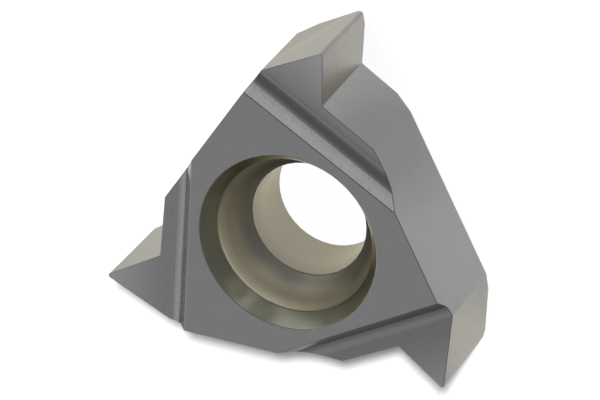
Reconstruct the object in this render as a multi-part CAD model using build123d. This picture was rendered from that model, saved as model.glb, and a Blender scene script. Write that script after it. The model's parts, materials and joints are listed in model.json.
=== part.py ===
from build123d import *
import os
from math import cos, radians, sin, tan

# Laydown threading insert: three corners, a 60 degree partial profile tooth on each, pressed and sintered
# in one piece and then ground. Millimetres. The origin is on the screw hole's axis in the back face,
# +Z points out of the top face and +Y along the first tooth.

# Pressed blank: an equal-sided triangle with a bevel round its back face
inscribed_circle = 6.35
thickness = 3.18
back_bevel_width = 0.28
back_bevel_height = 0.27
corner_count = 3

# Ground teeth and shoulders
profile_angle = 60.0
tip_to_side_wall = 0.98
tip_reach = 4.85
nose_radius = 0.07
shoulder_reach = 3.56
shoulder_fall_angle = 1.3
shoulder_root_radius = 0.06
ground_clearance_angle = 0.5

# Pressed chip grooves, one behind each tooth
groove_start = 2.685
groove_turn = 0.6
groove_wall_angle = 55.0
groove_bottom_radius = 0.40
rake_angle = 9.5
tip_below_top = 0.155

# Screw hole: a straight bore that opens a little at its upper end, a bowl that the screw's head sinks into
# and a flared mouth
bore_diameter = 2.98
bore_length = 1.2
bowl_foot_height = 1.72
bowl_foot_diameter = 3.1
bowl_diameter = 4.2
bowl_draft_angle = 2.0
mouth_depth = 0.46
mouth_diameter = 4.79

# Stock that each cutting shape passes through, so that it ends clear of the blank
overrun = 1.0

side_wall = inscribed_circle / 2
half_profile = radians(profile_angle / 2)


def blank():
    """Triangle with its back edges bevelled."""
    plan = RegularPolygon(side_wall, corner_count, major_radius=False)
    body = extrude(plan, thickness)
    back_face = body.faces().sort_by(Axis.Z)[0]
    return chamfer(back_face.edges(), back_bevel_width, back_bevel_height, reference=back_face)


def grinding_plan(height):
    """What grinding takes off one corner, as a plan at a height above the back face."""
    inset = (thickness - height) * tan(radians(ground_clearance_angle))
    apex_x = tip_to_side_wall - side_wall
    apex_y = tip_reach + nose_radius * (1 / sin(half_profile) - 1) - inset / sin(half_profile)
    shoulder_y = shoulder_reach - inset
    far = 2 * inscribed_circle
    outer_foot = (apex_x - far * sin(half_profile), apex_y - far * cos(half_profile))
    root_x = apex_x + (apex_y - shoulder_y) * tan(half_profile)
    shoulder_end = (far, shoulder_y - (far - root_x) * tan(radians(shoulder_fall_angle)))
    outline = FilletPolyline(
        outer_foot,
        (apex_x, apex_y),
        (root_x, shoulder_y),
        shoulder_end,
        (far, far),
        (outer_foot[0], far),
        radius=[0, nose_radius, shoulder_root_radius, 0, 0, 0],
        close=True,
    )
    return Pos(0, 0, height) * make_face(outline)


def ground_corner():
    """Solid that grinding removes beside one tooth: both flanks, the nose and the shoulder."""
    return loft([grinding_plan(-overrun), grinding_plan(thickness + overrun)], ruled=True)


def chip_groove():
    """Solid that the press leaves out behind one tooth, up to and past the cutting edges."""
    rake_slope = tan(radians(rake_angle))
    wall_slope = tan(radians(groove_wall_angle))
    tip_z = thickness - tip_below_top
    top_z = thickness + overrun
    # The wall z = thickness - wall_slope (y - groove_start) meets the rake plane
    bottom_y = (thickness - tip_z + wall_slope * groove_start + rake_slope * tip_reach) / (wall_slope + rake_slope)
    bottom_z = tip_z + rake_slope * (bottom_y - tip_reach)
    far_y = tip_reach + overrun
    section = FilletPolyline(
        (groove_start - overrun / wall_slope, top_z),
        (bottom_y, bottom_z),
        (far_y, tip_z + rake_slope * (far_y - tip_reach)),
        (far_y, top_z),
        radius=[0, groove_bottom_radius, 0, 0],
        close=True,
    )
    profile = make_face(Plane.YZ * section)
    return Rot(0, 0, groove_turn) * extrude(profile, inscribed_circle, both=True)


def screw_hole():
    """Solid of revolution that leaves the bore, the bowl and the flared mouth."""
    bore = bore_diameter / 2
    bowl_foot = (bowl_foot_diameter / 2, bowl_foot_height)
    bowl = bowl_diameter / 2
    mouth = mouth_diameter / 2
    flare = (mouth - bowl) / mouth_depth
    bowl_z = thickness - mouth_depth
    draft = radians(bowl_draft_angle)
    # The bowl leaves the step almost upright and curves inward down to its foot
    seat = TangentArc((bowl, bowl_z), bowl_foot, tangent=(-sin(draft), -cos(draft)))
    rest = Polyline(
        bowl_foot,
        (bore, bore_length),
        (bore, -overrun),
        (0, -overrun),
        (0, thickness + overrun),
        (mouth + flare * overrun, thickness + overrun),
        (bowl, bowl_z),
    )
    profile = make_face(Plane.XZ * (seat + rest))
    return revolve(profile, Axis.Z)


def threading_insert():
    body = blank()
    for corner in range(corner_count):
        turn = Rot(0, 0, -corner * 360 / corner_count)
        body -= turn * ground_corner()
        body -= turn * chip_groove()
    return body - screw_hole()


os.makedirs("parts", exist_ok=True)
insert = threading_insert()
insert.label = "threading_insert"
export_step(insert, "parts/threading_insert.step")
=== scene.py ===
import bpy
import json
from collections import Counter
from math import cos, radians, sin
from mathutils import Matrix, Vector

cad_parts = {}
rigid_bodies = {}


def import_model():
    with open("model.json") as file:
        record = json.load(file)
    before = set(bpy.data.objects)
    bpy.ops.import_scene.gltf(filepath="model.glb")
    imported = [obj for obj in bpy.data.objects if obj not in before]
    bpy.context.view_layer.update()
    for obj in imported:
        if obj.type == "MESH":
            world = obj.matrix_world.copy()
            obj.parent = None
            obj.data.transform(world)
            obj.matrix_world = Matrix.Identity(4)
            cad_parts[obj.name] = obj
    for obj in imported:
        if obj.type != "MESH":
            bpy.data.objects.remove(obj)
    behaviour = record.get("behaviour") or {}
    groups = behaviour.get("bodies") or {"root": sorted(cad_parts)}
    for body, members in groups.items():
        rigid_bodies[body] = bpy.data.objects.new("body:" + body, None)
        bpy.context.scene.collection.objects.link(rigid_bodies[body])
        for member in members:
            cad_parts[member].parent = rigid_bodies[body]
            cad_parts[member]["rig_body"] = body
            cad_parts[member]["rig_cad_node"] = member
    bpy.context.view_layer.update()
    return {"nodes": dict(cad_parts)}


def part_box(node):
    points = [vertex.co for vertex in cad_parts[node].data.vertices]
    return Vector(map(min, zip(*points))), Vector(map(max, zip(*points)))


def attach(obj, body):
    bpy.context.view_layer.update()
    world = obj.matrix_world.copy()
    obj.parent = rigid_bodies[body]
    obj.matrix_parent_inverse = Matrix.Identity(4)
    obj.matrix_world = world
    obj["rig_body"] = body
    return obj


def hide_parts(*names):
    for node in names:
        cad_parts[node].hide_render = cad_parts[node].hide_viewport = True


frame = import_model()
mm = 0.001  # the scene is in metres; angles in the dictionaries are in degrees
insertNode = "threading_insert"
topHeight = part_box(insertNode)[1].z
print("frame loaded, top face at", round(topHeight / mm, 3), "mm")


def linear(code):
    # sRGB hex to the linear colour that shader sockets hold
    channels = [int(code[i:i + 2], 16) / 255 for i in (1, 3, 5)]
    return [c / 12.92 if c <= 0.04045 else ((c + 0.055) / 1.055) ** 2.4 for c in channels] + [1.0]


def addNode(tree, kind, inputs={}, **settings):
    # one node with its settings, and its sockets set or linked from another node's socket
    node = tree.nodes.new(kind)
    for key, value in settings.items():
        setattr(node, key, value)
    for key, value in inputs.items():
        if isinstance(value, bpy.types.NodeSocket):
            tree.links.new(value, node.inputs[key])
        else:
            node.inputs[key].default_value = value
    return node


def direction(heading, elevation):
    # unit vector from two angles in degrees; heading 0 is +X and 90 is +Y
    turn, rise = radians(heading), radians(elevation)
    return Vector((cos(turn) * cos(rise), sin(turn) * cos(rise), sin(rise)))


# Coated carbide
# Cemented carbide, pressed and sintered, ground where it cuts and seats, then given a thin nitride
# by PVD. It looks like satin grey metal with a violet cast that turns warm at a glancing angle. Its
# real grain of about 0.002 mm is too fine to show, so it is drawn twenty to thirty times coarser.
coating = {
    "grainDetail": 3.0,
    "grainRange": (0.3, 0.7),  # the grain noise between which the roughness changes
    "roughnessSpread": 0.04,
    "cloudSize": 10.0,  # the slow change of tone, in grains
    "cloudDetail": 2.0,
}
groundFinish = {
    "colour": "#959597",  # reflectance of the grey-violet nitride coating, seen square on
    "edgeTint": "#FFFCEC",  # the thin film turns warm at a glancing angle
    "roughness": 0.30,
    "grainSize": 0.045 * mm,
    "grainDepth": 0.0006 * mm,
    "toneChange": 0.05,
}
pressedFinish = {
    "colour": "#A8A8AB",  # the grooves keep the smooth skin of the press; the lighter tone is also painted light, for the bright strip on the groove's front wall
    "paintedShadeColour": "#8C8C8F",  # painted shade: a little darker at the groove's bottom, where the groove's wall shades it
    "foot": (2.755 * mm, 3.05 * mm),
    "edgeTint": "#FFFDF4",
    "roughness": 0.26,
    "grainSize": 0.06 * mm,
    "grainDepth": 0.0003 * mm,
    "toneChange": 0.07,
}
boreFinish = {
    "colour": "#958F80",  # the coating is thinner down the hole, and browner
    "edgeTint": "#FFFCEC",
    "roughness": 0.32,
    "grainSize": 0.06 * mm,
    "grainDepth": 0.0005 * mm,
    "toneChange": 0.05,
}
bowlFinish = {
    "colour": "#E2DDC7",  # painted light: light and warm, for the light that the bowl's walls reflect to each other
    "paintedShadeColour": "#9C998F",  # painted shade: darker towards the bore, where the rim shades the bowl
    "foot": (1.80 * mm, 2.25 * mm),
    "edgeTint": "#46506A",  # the rough curve turns dark and cool at a glancing angle
    "roughness": 0.45,
    "grainSize": 0.06 * mm,
    "grainDepth": 0.0005 * mm,
    "toneChange": 0.05,
}
flareFinish = {
    "colour": "#979789",  # olive, between the top face and the bowl
    "edgeTint": "#FFFCEC",
    "roughness": 0.32,
    "grainSize": 0.06 * mm,
    "grainDepth": 0.0003 * mm,
    "toneChange": 0.05,
}


def coatedCarbide(name, finish):
    material = bpy.data.materials.new(name)
    material.use_nodes = True
    tree = material.node_tree
    tree.nodes.clear()
    place = addNode(tree, "ShaderNodeTexCoord")
    grain = addNode(tree, "ShaderNodeTexNoise", {
        "Vector": place.outputs["Object"],
        "Scale": 1 / finish["grainSize"],
        "Detail": coating["grainDetail"],
    })
    cloud = addNode(tree, "ShaderNodeTexNoise", {
        "Vector": place.outputs["Object"],
        "Scale": 1 / (coating["cloudSize"] * finish["grainSize"]),
        "Detail": coating["cloudDetail"],
    })
    base = linear(finish["colour"])
    dark = [c * (1 - finish["toneChange"]) for c in base[:3]] + [1.0]
    light = [c * (1 + finish["toneChange"]) for c in base[:3]] + [1.0]
    tone = addNode(tree, "ShaderNodeMix", {
        "Factor": cloud.outputs["Fac"],
        "A": dark,
        "B": light,
    }, data_type="RGBA")
    # painted shade: from the foot up, the colour fades from the darker foot colour to the finish's
    # own tone
    if "paintedShadeColour" in finish:
        height = addNode(tree, "ShaderNodeSeparateXYZ", {"Vector": place.outputs["Object"]})
        rise = addNode(tree, "ShaderNodeMapRange", {
            "Value": height.outputs["Z"],
            "From Min": finish["foot"][0],
            "From Max": finish["foot"][1],
        }, interpolation_type="SMOOTHSTEP")
        tone = addNode(tree, "ShaderNodeMix", {
            "Factor": rise.outputs["Result"],
            "A": linear(finish["paintedShadeColour"]),
            "B": tone.outputs["Result"],
        }, data_type="RGBA")
    sheen = addNode(tree, "ShaderNodeMapRange", {
        "Value": grain.outputs["Fac"],
        "From Min": coating["grainRange"][0],
        "From Max": coating["grainRange"][1],
        "To Min": finish["roughness"] - coating["roughnessSpread"],
        "To Max": finish["roughness"] + coating["roughnessSpread"],
    })
    relief = addNode(tree, "ShaderNodeBump", {
        "Height": grain.outputs["Fac"],
        "Strength": 1.0,
        "Distance": finish["grainDepth"],
    })
    shader = addNode(tree, "ShaderNodeBsdfPrincipled", {
        "Base Color": tone.outputs["Result"],
        "Metallic": 1.0,
        "Roughness": sheen.outputs["Result"],
        "Specular Tint": linear(finish["edgeTint"]),
        "Normal": relief.outputs["Normal"],
    })
    addNode(tree, "ShaderNodeOutputMaterial", {"Surface": shader.outputs["BSDF"]})
    return material


# The insert's body, shaped in millimetres: in metres the modifiers' tolerances are too coarse
bodyShape = {
    "scaleUp": 1000.0,
    "mergeGap": 0.001,
    "flatAngle": 0.3,  # triangles within this angle of each other become one flat face
    "corners": 3,
    # the nose of a tooth and the root of its shoulder: the middle of the round at the top face and
    # at the back face, and how far it reaches
    "strips": (
        (Vector((-2.195, 4.78)), Vector((-2.195, 4.7245)), 0.0725),
        (Vector((-1.4098, 3.56)), Vector((-1.4257, 3.532)), 0.038),
    ),
    "rimRise": 0.9,  # an edge that rises by less of its length than this belongs to a strip's rim
    "honeWidth": 0.022,
    "honeSegments": 4,
    "honeAngle": 24.0,  # only edges that turn by more than this are honed
    "wallRise": 0.5,  # a face whose normal rises less than this is an upright wall
    "smoothAngle": 27.0,
    "normalWeight": 100,
}


def buildBody():
    # a merged copy of the CAD mesh
    node = frame["nodes"][insertNode]
    bpy.ops.object.select_all(action="DESELECT")
    node.select_set(True)
    bpy.context.view_layer.objects.active = node
    bpy.ops.object.duplicate()
    body = bpy.context.active_object
    body.name = "insertBody"
    body.parent = None
    body.data.materials.clear()
    for key in ("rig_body", "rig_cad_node"):  # the copy isn't a CAD node
        if key in body:
            del body[key]
    body.data.transform(Matrix.Scale(bodyShape["scaleUp"], 4))

    bpy.ops.object.mode_set(mode="EDIT")
    bpy.ops.mesh.select_all(action="SELECT")
    bpy.ops.mesh.remove_doubles(threshold=bodyShape["mergeGap"])
    bpy.ops.mesh.dissolve_limited(angle_limit=radians(bodyShape["flatAngle"]))
    bpy.ops.mesh.normals_make_consistent(inside=False)
    bpy.ops.mesh.select_mode(type="FACE")
    bpy.ops.mesh.select_all(action="DESELECT")
    bpy.ops.object.mode_set(mode="OBJECT")
    return body


def onStrip(point, strip):
    # whether a point lies on the rounded nose or root that the strip stands for
    turn, topPoint, backPoint, reach = strip
    turned = turn @ point
    return (turned.xy - backPoint.lerp(topPoint, turned.z * mm / topHeight)).length < reach


def skinStrips(body):
    # the noses and roots come as tangled slivers, so each is bridged anew from rim to rim
    mesh = body.data
    strips = []
    for corner in range(bodyShape["corners"]):
        turn = Matrix.Rotation(radians(360 / bodyShape["corners"] * corner), 4, "Z")
        strips += [(turn, *strip) for strip in bodyShape["strips"]]
    for face in mesh.polygons:
        points = [mesh.vertices[i].co for i in face.vertices]
        face.select = any(all(onStrip(point, strip) for point in points) for strip in strips)
    bpy.ops.object.mode_set(mode="EDIT")
    bpy.ops.mesh.delete(type="FACE")
    bpy.ops.mesh.select_mode(type="EDGE")
    for strip in strips:
        bpy.ops.mesh.select_all(action="DESELECT")
        bpy.ops.object.mode_set(mode="OBJECT")
        used = [pair for face in mesh.polygons for pair in face.edge_keys]
        openPairs = {pair for pair, times in Counter(used).items() if times == 1}
        for edge in mesh.edges:
            ends = [mesh.vertices[i].co for i in edge.vertices]
            run = ends[1] - ends[0]
            level = abs(run.z) < bodyShape["rimRise"] * run.length
            inside = all(onStrip(end, strip) for end in ends)
            edge.select = edge.key in openPairs and level and inside
        bpy.ops.object.mode_set(mode="EDIT")
        bpy.ops.mesh.bridge_edge_loops()
    bpy.ops.mesh.select_all(action="SELECT")
    bpy.ops.mesh.normals_make_consistent(inside=False)
    bpy.ops.object.mode_set(mode="OBJECT")


def honeEdges(body):
    # the edges are brushed round a little before coating, except the upright ones between two walls
    mesh = body.data
    sides = {}
    for face in mesh.polygons:
        for pair in face.edge_keys:
            sides.setdefault(pair, []).append(face.normal)
    weight = mesh.attributes.new("bevel_weight_edge", "FLOAT", "EDGE")
    for edge in mesh.edges:
        one, other = sides[edge.key]
        upright = max(abs(one.z), abs(other.z)) < bodyShape["wallRise"]
        if one.angle(other) > radians(bodyShape["honeAngle"]) and not upright:
            weight.data[edge.index].value = 1.0
    hone = body.modifiers.new("hone", "BEVEL")
    hone.width = bodyShape["honeWidth"]
    hone.segments = bodyShape["honeSegments"]
    hone.use_clamp_overlap = False
    hone.limit_method = "WEIGHT"
    hone.miter_outer = "MITER_SHARP"
    bpy.ops.object.modifier_apply(modifier=hone.name)
    bpy.ops.object.shade_smooth_by_angle(angle=radians(bodyShape["smoothAngle"]))
    flatten = body.modifiers.new("flatNormals", "WEIGHTED_NORMAL")
    flatten.weight = bodyShape["normalWeight"]
    flatten.keep_sharp = True
    bpy.ops.object.modifier_apply(modifier=flatten.name)
    body.data.transform(Matrix.Scale(1 / bodyShape["scaleUp"], 4))
    body.data.update()


# Where the finishes lie
finishPlaces = {
    "rimRadius": 2.43 * mm,
    "bowlFoot": 1.70 * mm,
    "flareDepth": 0.47 * mm,
    "grooveDepth": 0.03 * mm,
    "grooveRise": 0.2,
}


def finishFaces(body):
    # the hole and the grooves are as pressed and sintered, everything else is ground
    finishes = {
        "pvdCoatedCarbideGround": groundFinish,
        "pvdCoatedCarbidePressed": pressedFinish,
        "pvdCoatedCarbideBore": boreFinish,
        "pvdCoatedCarbideBowl": bowlFinish,
        "pvdCoatedCarbideFlare": flareFinish,
    }
    for name, finish in finishes.items():
        body.data.materials.append(coatedCarbide(name, finish))
    ground, pressed, bore, bowl, flare = range(len(finishes))
    flareFoot = topHeight - finishPlaces["flareDepth"]
    grooveTop = topHeight - finishPlaces["grooveDepth"]
    for face in body.data.polygons:
        height = face.center.z
        reach = max(body.data.vertices[i].co.xy.length for i in face.vertices)
        if reach < finishPlaces["rimRadius"]:
            inHole = bowl if height > finishPlaces["bowlFoot"] else bore
            face.material_index = flare if height > flareFoot else inHole
        elif face.normal.z > finishPlaces["grooveRise"] and height < grooveTop:
            face.material_index = pressed
        else:
            face.material_index = ground


body = buildBody()
skinStrips(body)
print("noses and roots skinned:", len(body.data.polygons), "faces")
honeEdges(body)
finishFaces(body)
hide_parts(insertNode)
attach(body, "root")
print("insert body honed and finished:", len(body.data.polygons), "faces")

# Floor: white paper. The insert's reflections see it plain white in place of its own shadow, but
# for its dim far end and a painted shadow beside the first tooth's shoulder, seen only in
# reflections.
floorLook = {
    "halfWidth": 0.4,
    "colour": "#F4F4F4",
    "mirrorShare": 0.95,
    "white": 1.0,
    "litRadius": (7.0 * mm, 8.2 * mm),  # how far from the hole the white ends in a reflection
    "farTone": 0.15,
    # painted shadow, seen only in reflections: the paper dims round this point beside the shoulder
    "shadowPatchMiddle": (1.3 * mm, 4.7 * mm, 0.0),
    "shadowPatchRadius": (1.3 * mm, 2.7 * mm),
    "shadowPatchTone": 0.76,
    "holeRadius": (1.5 * mm, 1.65 * mm),  # painted light: the paper seen through the hole is plain white too, in place of the rim's shadow
}


def buildFloor():
    bpy.ops.object.select_all(action="DESELECT")
    bpy.ops.mesh.primitive_plane_add(size=2 * floorLook["halfWidth"])
    floor = bpy.context.active_object
    floor.name = "floor"
    material = bpy.data.materials.new("matWhitePaper")
    material.use_nodes = True
    tree = material.node_tree
    tree.nodes.clear()
    paper = addNode(tree, "ShaderNodeBsdfDiffuse", {"Color": linear(floorLook["colour"])})
    place = addNode(tree, "ShaderNodeTexCoord")
    fromAxis = addNode(tree, "ShaderNodeVectorMath", {
        0: place.outputs["Object"],
    }, operation="LENGTH")
    lit = addNode(tree, "ShaderNodeMapRange", {
        "Value": fromAxis.outputs["Value"],
        "From Min": floorLook["litRadius"][0],
        "From Max": floorLook["litRadius"][1],
        "To Min": floorLook["white"],
        "To Max": floorLook["farTone"],
    })
    # painted shadow beside the first tooth's shoulder, seen only in reflections
    fromShadowPatch = addNode(tree, "ShaderNodeVectorMath", {
        0: place.outputs["Object"],
        1: floorLook["shadowPatchMiddle"],
    }, operation="DISTANCE")
    shadowPatch = addNode(tree, "ShaderNodeMapRange", {
        "Value": fromShadowPatch.outputs["Value"],
        "From Min": floorLook["shadowPatchRadius"][0],
        "From Max": floorLook["shadowPatchRadius"][1],
        "To Min": floorLook["shadowPatchTone"],
        "To Max": 1.0,
    })
    glow = addNode(tree, "ShaderNodeMath", {
        0: lit.outputs["Result"],
        1: shadowPatch.outputs["Result"],
    }, operation="MULTIPLY")
    white = addNode(tree, "ShaderNodeEmission", {
        "Color": (1, 1, 1, 1),
        "Strength": glow.outputs[0],
    })
    rays = addNode(tree, "ShaderNodeLightPath")
    mirrored = addNode(tree, "ShaderNodeMath", {
        0: rays.outputs["Is Glossy Ray"],
        1: floorLook["mirrorShare"],
    }, operation="MULTIPLY")
    # painted light: to the camera the paper under the hole glows plain white, over the rim's shadow
    underHole = addNode(tree, "ShaderNodeMapRange", {
        "Value": fromAxis.outputs["Value"],
        "From Min": floorLook["holeRadius"][0],
        "From Max": floorLook["holeRadius"][1],
        "To Min": 1.0,
        "To Max": 0.0,
    })
    opening = addNode(tree, "ShaderNodeMath", {
        0: underHole.outputs["Result"],
        1: rays.outputs["Is Camera Ray"],
    }, operation="MULTIPLY")
    share = addNode(tree, "ShaderNodeMath", {
        0: mirrored.outputs[0],
        1: opening.outputs[0],
    }, operation="MAXIMUM")
    blend = addNode(tree, "ShaderNodeMixShader", {
        "Fac": share.outputs[0],
        1: paper.outputs["BSDF"],
        2: white.outputs["Emission"],
    })
    addNode(tree, "ShaderNodeOutputMaterial", {"Surface": blend.outputs["Shader"]})
    floor.data.materials.append(material)


buildFloor()
print("floor laid")

# Studio light: a dim room, nine soft boxes that the coating mirrors and a key light for the floor
studio = {
    "room": 0.26,
    "backdrop": 1.0,  # what the camera sees beyond the floor
    # each box: heading and height of its middle, strength, and the angles from its middle at which
    # it starts to fade and ends
    "boxes": {
        "highBox": (-90.0, 46.0, 0.30, 10.0, 28.0),
        "boxOverLeftRake": (-56.0, 62.0, 0.30, 5.0, 20.0),
        "boxOverRightRake": (-130.0, 58.0, 0.17, 5.0, 20.0),
        "boxOverFirstTooth": (92.0, 40.0, 0.14, 5.0, 22.0),
        "rightBox": (-66.0, 20.0, 0.16, 8.0, 30.0),
        "lowBox": (-120.0, 14.0, 0.6, 8.0, 32.0),
        "leftBox": (-114.0, 35.0, 0.26, 4.0, 21.0),
        "panelByFirstTooth": (95.0, 17.0, 0.72, 5.0, 18.0),
        "sideBox": (158.0, 7.0, 1.1, 10.0, 44.0),
    },
    "keyStrength": 3.4,
    "keyHeading": 92.7,
    "keyElevation": 54.5,
    "keySoftness": 5.0,
}


def buildLight():
    world = bpy.data.worlds.new("softStudio")
    bpy.context.scene.world = world
    world.use_nodes = True
    tree = world.node_tree
    tree.nodes.clear()
    place = addNode(tree, "ShaderNodeTexCoord")
    light = studio["room"]
    for heading, elevation, boxStrength, fadeStart, fadeEnd in studio["boxes"].values():
        facing = addNode(tree, "ShaderNodeVectorMath", {
            0: place.outputs["Generated"],
            1: direction(heading, elevation),
        }, operation="DOT_PRODUCT")
        box = addNode(tree, "ShaderNodeMapRange", {
            "Value": facing.outputs["Value"],
            "From Min": cos(radians(fadeEnd)),
            "From Max": cos(radians(fadeStart)),
            "To Min": 0.0,
            "To Max": boxStrength,
        }, interpolation_type="SMOOTHSTEP")
        total = addNode(tree, "ShaderNodeMath", {
            0: box.outputs["Result"],
            1: light,
        }, operation="ADD")
        light = total.outputs[0]
    rays = addNode(tree, "ShaderNodeLightPath")
    strength = addNode(tree, "ShaderNodeMix", {
        "Factor": rays.outputs["Is Camera Ray"],
        "A": light,
        "B": studio["backdrop"],
    }, data_type="FLOAT")
    glowing = addNode(tree, "ShaderNodeBackground", {
        "Color": (1, 1, 1, 1),
        "Strength": strength.outputs["Result"],
    })
    addNode(tree, "ShaderNodeOutputWorld", {"Surface": glowing.outputs["Background"]})

    toKey = direction(studio["keyHeading"], studio["keyElevation"])
    bpy.ops.object.select_all(action="DESELECT")
    bpy.ops.object.light_add(type="SUN", location=toKey)
    key = bpy.context.active_object
    key.name = "keyLight"
    key.data.energy = studio["keyStrength"]
    key.data.angle = radians(studio["keySoftness"])
    key.rotation_euler = toKey.to_track_quat("Z", "Y").to_euler()
    key.visible_glossy = False


buildLight()
print("lights set:", len(studio["boxes"]), "soft boxes and a key light")

# Camera
view = {
    "heading": 85.98,
    "tilt": 33.29,
    "roll": -37.76,
    "distance": 175.4 * mm,
    "pixelsPerMm": 39.89,
    "holePixel": (287.48, 242.85),  # the hole's centre at the top face
    "pictureSize": (600, 400),
    "sensorWidth": 36.0,
    "clip": (0.01, 10.0),
}


def buildCamera():
    away = direction(view["heading"], 90 - view["tilt"])
    firstTooth = Vector((0, 1, 0))
    uprightUp = (firstTooth - away * firstTooth.dot(away)).normalized()
    uprightRight = uprightUp.cross(away)
    roll = radians(view["roll"])
    up = uprightUp * cos(roll) + uprightRight * sin(roll)
    right = uprightRight * cos(roll) - uprightUp * sin(roll)
    width, height = view["pictureSize"]
    pixel = mm / view["pixelsPerMm"]
    aside = (view["holePixel"][0] - width / 2) * pixel
    below = (view["holePixel"][1] - height / 2) * pixel
    aim = Vector((0, 0, topHeight)) - right * aside + up * below
    bpy.ops.object.select_all(action="DESELECT")
    bpy.ops.object.camera_add()
    camera = bpy.context.active_object
    camera.name = "camera"
    turned = Matrix((right, up, away)).transposed().to_4x4()
    camera.matrix_world = Matrix.Translation(aim + away * view["distance"]) @ turned
    camera.data.sensor_width = view["sensorWidth"]
    camera.data.lens = view["distance"] / pixel / width * view["sensorWidth"]
    camera.data.clip_start, camera.data.clip_end = view["clip"]
    bpy.context.scene.camera = camera


buildCamera()
bpy.context.scene.view_settings.view_transform = "Standard"
print("camera set")
